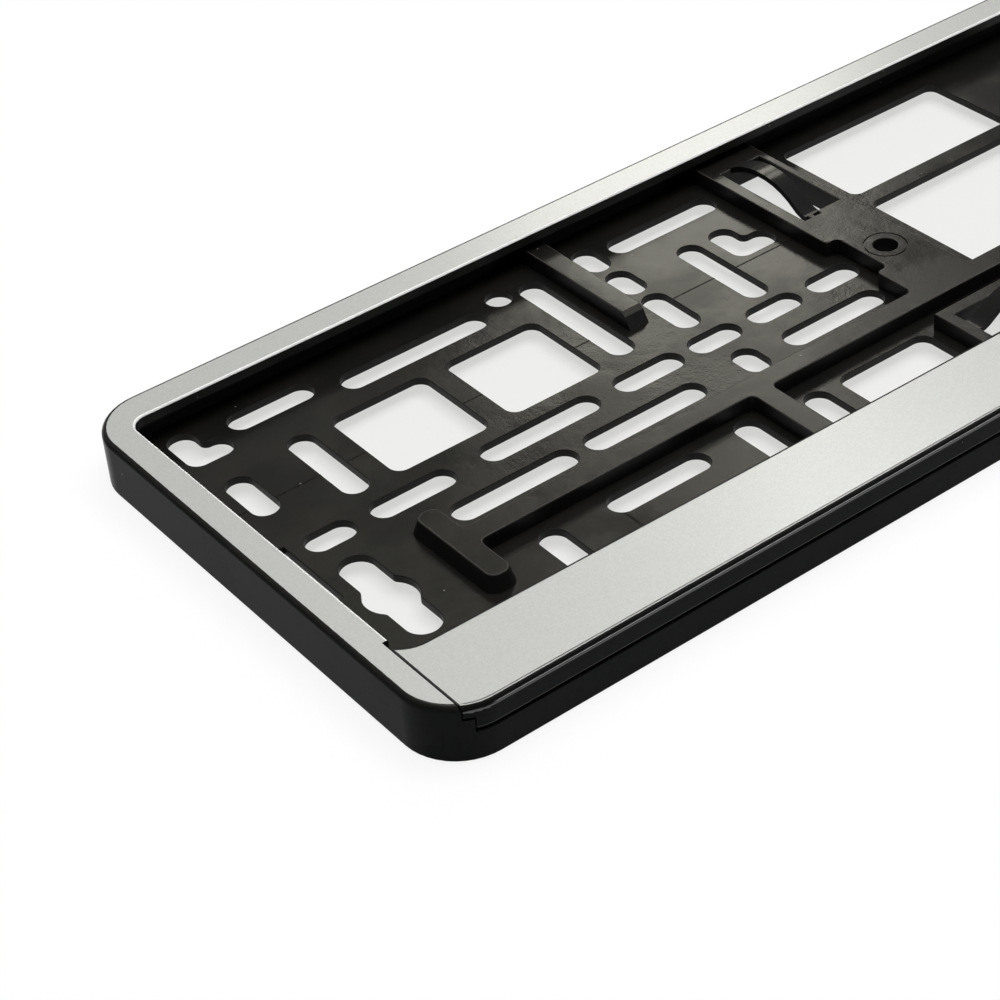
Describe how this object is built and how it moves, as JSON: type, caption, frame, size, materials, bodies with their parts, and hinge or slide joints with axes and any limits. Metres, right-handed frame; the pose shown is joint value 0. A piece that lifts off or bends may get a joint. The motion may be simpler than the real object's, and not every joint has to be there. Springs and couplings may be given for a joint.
{
  "type": "number plate holder",
  "caption": "Long low moulded holder for a car number plate: slotted floor with raised bars, lipped rim, bowed leaf springs and a clip-on front strip that holds the plate's lower edge.",
  "frame": {"origin": "under the middle of the holder, on its back face", "axes": "+X along the plate, +Y to the plate's upper edge, +Z out of the face, so the holder lies on its back"},
  "size_m": [0.53, 0.133, 0.0135],
  "materials": {
    "black_plastic": "semi-gloss moulded black, with silver paint on the flat top of the rim",
    "silver_plastic": "satin silver paint on top, black moulded skirt and underside"
  },
  "bodies": {
    "base": {"base_frame": "black_plastic"},
    "strip": {"retaining_strip": "silver_plastic"}
  },
  "joints": [
    {"name": "strip_lift", "type": "slide", "parent": "base", "child": "strip", "axis": [0, 0, 1], "range_m": [0, 0.016]}
  ]
}
